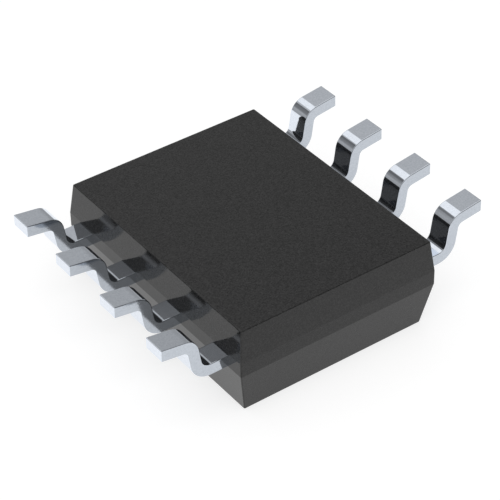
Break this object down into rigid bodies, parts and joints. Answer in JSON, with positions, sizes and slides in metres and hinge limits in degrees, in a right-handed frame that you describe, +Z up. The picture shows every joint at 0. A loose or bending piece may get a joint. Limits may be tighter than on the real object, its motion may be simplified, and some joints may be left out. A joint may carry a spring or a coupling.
{
  "type": "soic chip",
  "caption": "Small-outline integrated circuit with gull-wing leads along two sides, lying on its marking face with its feet up.",
  "frame": {"origin": "middle of the flat marking face, which the part lies on", "axes": "+X along the rows of leads, +Y across the body from the row of leads 5 to 8 to the row of leads 1 to 4, +Z up from the marking face to the feet"},
  "size_m": [0.0048, 0.0062, 0.0018],
  "materials": {
    "moulding_compound": "black filled epoxy, smooth from a polished mould",
    "tin_plated_strip": "bright tin plating",
    "bare_strip": "stamped copper alloy strip",
    "silver_epoxy": "cured silver-filled adhesive",
    "silicon": "polished silicon with sawn edges",
    "gold_wire": "drawn gold wire"
  },
  "bodies": {
    "root": {"bond_wire_1": "gold_wire", "bond_wire_2": "gold_wire", "bond_wire_3": "gold_wire", "bond_wire_4": "gold_wire", "bond_wire_5": "gold_wire", "bond_wire_6": "gold_wire", "bond_wire_7": "gold_wire", "bond_wire_8": "gold_wire", "die_attach": "silver_epoxy", "die_paddle": "bare_strip", "lead_1": "tin_plated_strip", "lead_2": "tin_plated_strip", "lead_3": "tin_plated_strip", "lead_4": "tin_plated_strip", "lead_5": "tin_plated_strip", "lead_6": "tin_plated_strip", "lead_7": "tin_plated_strip", "lead_8": "tin_plated_strip", "mould_body": "moulding_compound", "silicon_die": "silicon"}
  },
  "joints": []
}
